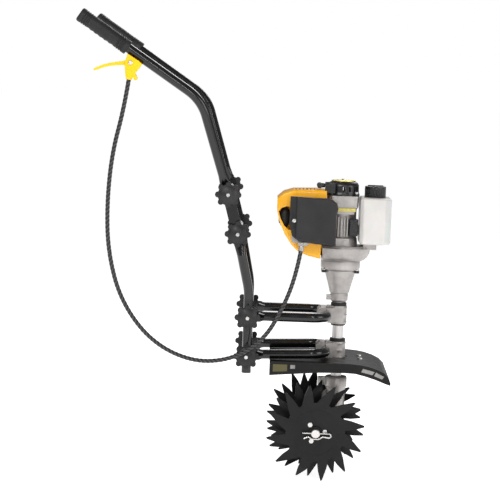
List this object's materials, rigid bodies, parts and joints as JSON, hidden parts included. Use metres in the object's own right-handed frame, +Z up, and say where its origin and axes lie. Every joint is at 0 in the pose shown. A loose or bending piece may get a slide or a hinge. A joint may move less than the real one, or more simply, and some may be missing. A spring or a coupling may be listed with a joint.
{
  "type": "mini tiller",
  "caption": "Walk-behind mini cultivator: petrol engine on a vertical drive tube over worm-driven tine rotors, with folding clamp-knob handles and a throttle lever.",
  "frame": {"origin": "centre of the tine axle, on the machine's middle plane", "axes": "+X forward, +Y to the operator's left, +Z up along the drive tube"},
  "size_m": [0.7389, 0.4714, 1.0695],
  "materials": {
    "black_tube": "gloss black enamel",
    "cast": "as-cast satin",
    "tube_silver": "satin anodised",
    "steel": "bright zinc",
    "rubber": "matte",
    "knob_plastic": "satin",
    "guard_plastic": "satin",
    "tine_black": "satin black enamel",
    "shroud_yellow": "gloss",
    "lever_yellow": "gloss",
    "engine_plastic": "satin",
    "tank_plastic": "translucent white",
    "cable_plastic": "corrugated conduit",
    "muffler_steel": "heat-resistant black"
  },
  "bodies": {
    "frame": {"air_filter_cover": "engine_plastic", "bearings": "steel", "carburettor": "cast", "clamp_caps": "cast", "clutch_housing": "cast", "crankcase": "cast", "cylinder": "cast", "drive_tube": "tube_silver", "engine_shroud": "shroud_yellow", "fan_housing": "cast", "fasteners": "steel", "fuel_tank": "tank_plastic", "gearbox_cover": "cast", "gearbox_housing": "cast", "guard": "guard_plastic", "guard_bracket": "black_tube", "lower_bracket": "black_tube", "lower_clamp": "cast", "muffler": "muffler_steel", "side_bar_left": "black_tube", "side_bar_right": "black_tube", "starter_housing": "engine_plastic", "throttle_cable": "cable_plastic", "tube_rings": "rubber", "upper_bracket": "black_tube", "upper_clamp": "cast"},
    "tines": {"tine_axle": "steel", "worm_wheel": "cast", "tine_rotor_right": "tine_black", "tine_rotor_left": "tine_black", "tine_disc_right": "tine_black", "tine_disc_left": "tine_black", "hitch_pins": "steel", "hub_bolts": "steel"},
    "drive": {"drive_shaft": "steel", "clutch_drum": "steel", "worm": "steel"},
    "crank": {"crankshaft": "steel", "flywheel": "cast", "clutch_shoes": "steel"},
    "link_right": {"link_right": "black_tube"},
    "link_left": {"link_left": "black_tube"},
    "handle_right": {"handle_right": "black_tube", "grip_right": "rubber", "pivot_bolt_right": "steel", "lever_housing": "lever_yellow"},
    "handle_left": {"handle_left": "black_tube", "grip_left": "rubber", "pivot_bolt_left": "steel"},
    "lever": {"throttle_lever": "lever_yellow"},
    "starter_grip": {"starter_handle": "engine_plastic"},
    "cap": {"fuel_cap": "engine_plastic"},
    "knob_1_right": {"knob_1_right": "knob_plastic"},
    "knob_1_left": {"knob_1_left": "knob_plastic"},
    "knob_2_right": {"knob_2_right": "knob_plastic"},
    "knob_2_left": {"knob_2_left": "knob_plastic"},
    "knob_3_right": {"knob_3_right": "knob_plastic"},
    "knob_3_left": {"knob_3_left": "knob_plastic"},
    "knob_4_right": {"knob_4_right": "knob_plastic"},
    "knob_4_left": {"knob_4_left": "knob_plastic"}
  },
  "joints": [
    {"name": "tine_spin", "type": "hinge", "parent": "frame", "child": "tines", "pos_m": [0, 0, 0], "axis": [0, 1, 0], "continuous": true},
    {"name": "drive_spin", "type": "hinge", "parent": "frame", "child": "drive", "pos_m": [0.0467, 0, 0.2], "axis": [0, 0, 1], "continuous": true},
    {"name": "crank_spin", "type": "hinge", "parent": "frame", "child": "crank", "pos_m": [0.0467, 0, 0.45], "axis": [0, 0, 1], "continuous": true},
    {"name": "link_fold_right", "type": "hinge", "parent": "frame", "child": "link_right", "pos_m": [-0.195, -0.1485, 0.4575], "axis": [0, -1, 0], "range_deg": [-15, 60], "deforming": ["throttle_cable"]},
    {"name": "handle_fold_right", "type": "hinge", "parent": "link_right", "child": "handle_right", "pos_m": [-0.2198, -0.1485, 0.5465], "axis": [0, -1, 0], "range_deg": [-20, 100], "deforming": ["throttle_cable"]},
    {"name": "knob_1_right_turn", "type": "hinge", "parent": "handle_right", "child": "knob_1_right", "pos_m": [-0.2198, -0.16, 0.5465], "axis": [0, 1, 0], "continuous": true},
    {"name": "knob_2_right_turn", "type": "hinge", "parent": "frame", "child": "knob_2_right", "pos_m": [-0.195, -0.16, 0.4575], "axis": [0, 1, 0], "continuous": true},
    {"name": "knob_3_right_turn", "type": "hinge", "parent": "frame", "child": "knob_3_right", "pos_m": [-0.1665, -0.13, 0.2636], "axis": [0, 1, 0], "continuous": true},
    {"name": "knob_4_right_turn", "type": "hinge", "parent": "frame", "child": "knob_4_right", "pos_m": [-0.1665, -0.13, 0.1734], "axis": [0, 1, 0], "continuous": true},
    {"name": "link_fold_left", "type": "hinge", "parent": "frame", "child": "link_left", "pos_m": [-0.195, 0.1485, 0.4575], "axis": [0, -1, 0], "range_deg": [-15, 60]},
    {"name": "handle_fold_left", "type": "hinge", "parent": "link_left", "child": "handle_left", "pos_m": [-0.2198, 0.1485, 0.5465], "axis": [0, -1, 0], "range_deg": [-20, 100]},
    {"name": "knob_1_left_turn", "type": "hinge", "parent": "handle_left", "child": "knob_1_left", "pos_m": [-0.2198, 0.16, 0.5465], "axis": [0, 1, 0], "continuous": true},
    {"name": "knob_2_left_turn", "type": "hinge", "parent": "frame", "child": "knob_2_left", "pos_m": [-0.195, 0.16, 0.4575], "axis": [0, 1, 0], "continuous": true},
    {"name": "knob_3_left_turn", "type": "hinge", "parent": "frame", "child": "knob_3_left", "pos_m": [-0.1665, 0.13, 0.2636], "axis": [0, 1, 0], "continuous": true},
    {"name": "knob_4_left_turn", "type": "hinge", "parent": "frame", "child": "knob_4_left", "pos_m": [-0.1665, 0.13, 0.1734], "axis": [0, 1, 0], "continuous": true},
    {"name": "throttle_squeeze", "type": "hinge", "parent": "handle_right", "child": "lever", "pos_m": [-0.446, -0.2135, 0.837], "axis": [0, 1, 0], "range_deg": [0, 24], "stiffness_Nm_per_rad": 0.6, "springref_deg": -17.19},
    {"name": "starter_pull", "type": "slide", "parent": "frame", "child": "starter_grip", "axis": [-1, 0, 0], "range_m": [0, 0.6], "stiffness_N_per_m": 20, "springref_m": -0.5},
    {"name": "cap_turn", "type": "hinge", "parent": "frame", "child": "cap", "pos_m": [0.122, 0, 0.555], "axis": [0, 0, 1], "continuous": true}
  ],
  "couplings": [
    {"joint": "drive_spin", "follows": "tine_spin", "ratio": 32}
  ]
}
